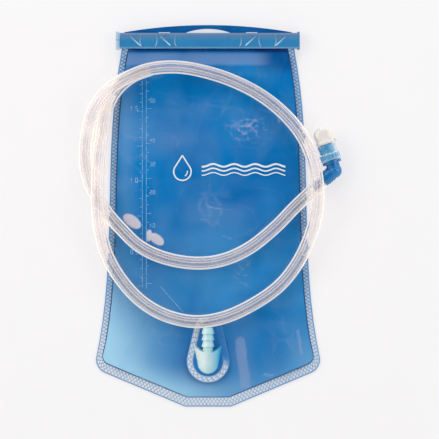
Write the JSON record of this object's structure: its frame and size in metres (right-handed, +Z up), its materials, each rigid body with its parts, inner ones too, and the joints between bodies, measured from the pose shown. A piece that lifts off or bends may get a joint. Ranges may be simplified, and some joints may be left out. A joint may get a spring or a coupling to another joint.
{
  "type": "hydration bladder",
  "caption": "Welded film hydration bladder with a slide-on closure, hanging slot, barbed outlet and a loose clear drinking hose ending in a bite valve.",
  "frame": {"origin": "middle of the bag's own outline on the surface that it lies on, without the hose and the bite valve", "axes": "+Y from the foot of the bag to its closure, +X across the bag towards the slider's closed end, +Z up out of the front film"},
  "size_m": [0.2108, 0.3058, 0.0283],
  "materials": {
    "film": "clear blue film, glossy, slightly wrinkled",
    "weld": "knurled weld in pale blue film",
    "hanger": "smooth blue plastic sheet",
    "rail": "pale translucent plastic",
    "slider": "satin moulded plastic",
    "fitting": "milky translucent plastic",
    "hose": "clear soft tubing",
    "elbow": "smooth moulded plastic",
    "seal": "matt rubber",
    "collar": "translucent moulded plastic",
    "silicone": "clear silicone"
  },
  "bodies": {
    "bladder": {"front_panel": "film", "back_panel": "film", "edge_weld": "weld", "hanger_strip": "hanger", "front_rail": "rail", "back_rail": "rail", "outlet_patch": "weld", "outlet_fitting": "fitting", "drink_hose": "hose", "valve_elbow": "elbow", "valve_o_rings": "seal"},
    "slider": {"slider": "slider"},
    "collar": {"valve_collar": "collar"},
    "mouthpiece": {"mouthpiece": "silicone"}
  },
  "joints": [
    {"name": "slider_slide", "type": "slide", "parent": "bladder", "child": "slider", "axis": [1, 0, 0], "range_m": [0, 0.15]},
    {"name": "collar_twist", "type": "hinge", "parent": "bladder", "child": "collar", "pos_m": [0.1012, 0.0362, 0.0088], "axis": [-0.309, 0.9511, 0], "range_deg": [0, 90]},
    {"name": "mouthpiece_pull", "type": "slide", "parent": "collar", "child": "mouthpiece", "axis": [-0.309, 0.9511, 0], "range_m": [0, 0.012]}
  ]
}
